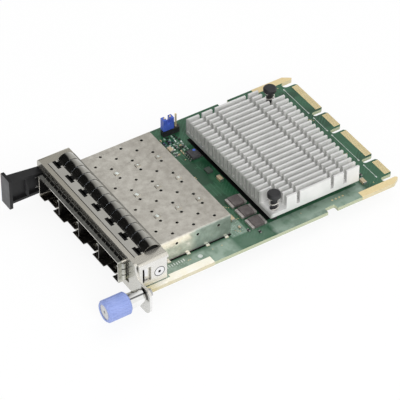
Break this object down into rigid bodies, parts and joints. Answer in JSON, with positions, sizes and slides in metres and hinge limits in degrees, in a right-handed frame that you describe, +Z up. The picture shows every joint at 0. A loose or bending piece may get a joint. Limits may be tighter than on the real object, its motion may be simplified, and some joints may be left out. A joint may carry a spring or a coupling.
{
  "type": "ethernet adapter card",
  "caption": "Network adapter card with a row of module cages behind a folded faceplate, a finned heat sink, edge contacts, a pull tab and a captive thumbscrew.",
  "frame": {"origin": "under the middle of the card's bounding box, at its lowest point", "axes": "+X across the card towards the thumbscrew, +Y from the faceplate to the edge contacts, +Z up from the component side"},
  "size_m": [0.0826, 0.1332, 0.0199],
  "materials": {
    "board_green": "glossy solder mask",
    "gold_plating": "gold plate",
    "cage_metal": "plated sheet",
    "spring_metal": "bright spring strip",
    "plate_metal": "zinc plated sheet",
    "screw_metal": "plated steel",
    "tab_plastic": "moulded, fine grain",
    "knob_plastic": "moulded, fluted",
    "bright_metal": "bright plated",
    "sink_aluminium": "anodised, clear",
    "pin_plastic": "moulded",
    "substrate_green": "solder mask",
    "lid_metal": "nickel plated",
    "solder": "solder",
    "pad_rubber": "soft pad",
    "black_plastic": "moulded",
    "jumper_plastic": "moulded",
    "ferrite": "pressed ferrite",
    "capacitor_tan": "fired ceramic",
    "resistor_black": "fired ceramic"
  },
  "bodies": {
    "card": {"circuit_board": "board_green", "front_edge_plating_left": "gold_plating", "front_edge_plating_right": "gold_plating", "rear_edge_plating_left": "gold_plating", "rear_edge_plating_right": "gold_plating", "edge_contacts_top": "gold_plating", "edge_contacts_bottom": "gold_plating", "cage_shell": "cage_metal", "cage_floor": "cage_metal", "cage_rear_panel": "cage_metal", "cage_divider_left": "cage_metal", "cage_divider_middle": "cage_metal", "cage_divider_right": "cage_metal", "cage_spring_collar": "spring_metal", "connector_contacts": "gold_plating", "faceplate": "plate_metal", "hood_spring_strip": "spring_metal", "mounting_block_left": "plate_metal", "mounting_block_right": "plate_metal", "side_screws": "screw_metal", "pull_tab": "tab_plastic", "pull_tab_rivets": "screw_metal", "screw_ferrule": "bright_metal", "screw_spring": "screw_metal", "heat_sink": "sink_aluminium", "push_pin_front": "pin_plastic", "push_pin_rear": "pin_plastic", "pin_spring_front": "screw_metal", "pin_spring_rear": "screw_metal", "controller_substrate": "substrate_green", "controller_lid": "lid_metal", "controller_solder": "solder", "thermal_pad": "pad_rubber", "pin_header": "black_plastic", "header_posts": "gold_plating", "jumper_cap": "jumper_plastic", "memory_chip": "black_plastic", "memory_chip_leads": "solder", "power_inductors": "ferrite", "inductor_ends": "solder", "crystal_can": "lid_metal", "capacitors": "capacitor_tan", "capacitor_ends": "solder", "resistors": "resistor_black", "resistor_ends": "solder", "underside_parts": "capacitor_tan", "underside_part_ends": "solder", "port_connector_1": "black_plastic", "port_connector_2": "black_plastic", "port_connector_3": "black_plastic", "port_connector_4": "black_plastic"},
    "ring_carrier": {"retaining_ring": "screw_metal"},
    "thumbscrew": {"thumb_knob": "knob_plastic", "captive_screw": "screw_metal"}
  },
  "joints": [
    {"name": "screw_slide", "type": "slide", "parent": "card", "child": "ring_carrier", "axis": [0, 1, 0], "range_m": [0, 0.005], "stiffness_N_per_m": 300, "springref_m": -0.002, "deforming": ["screw_spring"]},
    {"name": "screw_turn", "type": "hinge", "parent": "ring_carrier", "child": "thumbscrew", "pos_m": [0.03687, -0.05742, 0.0076], "axis": [0, 1, 0], "continuous": true}
  ]
}
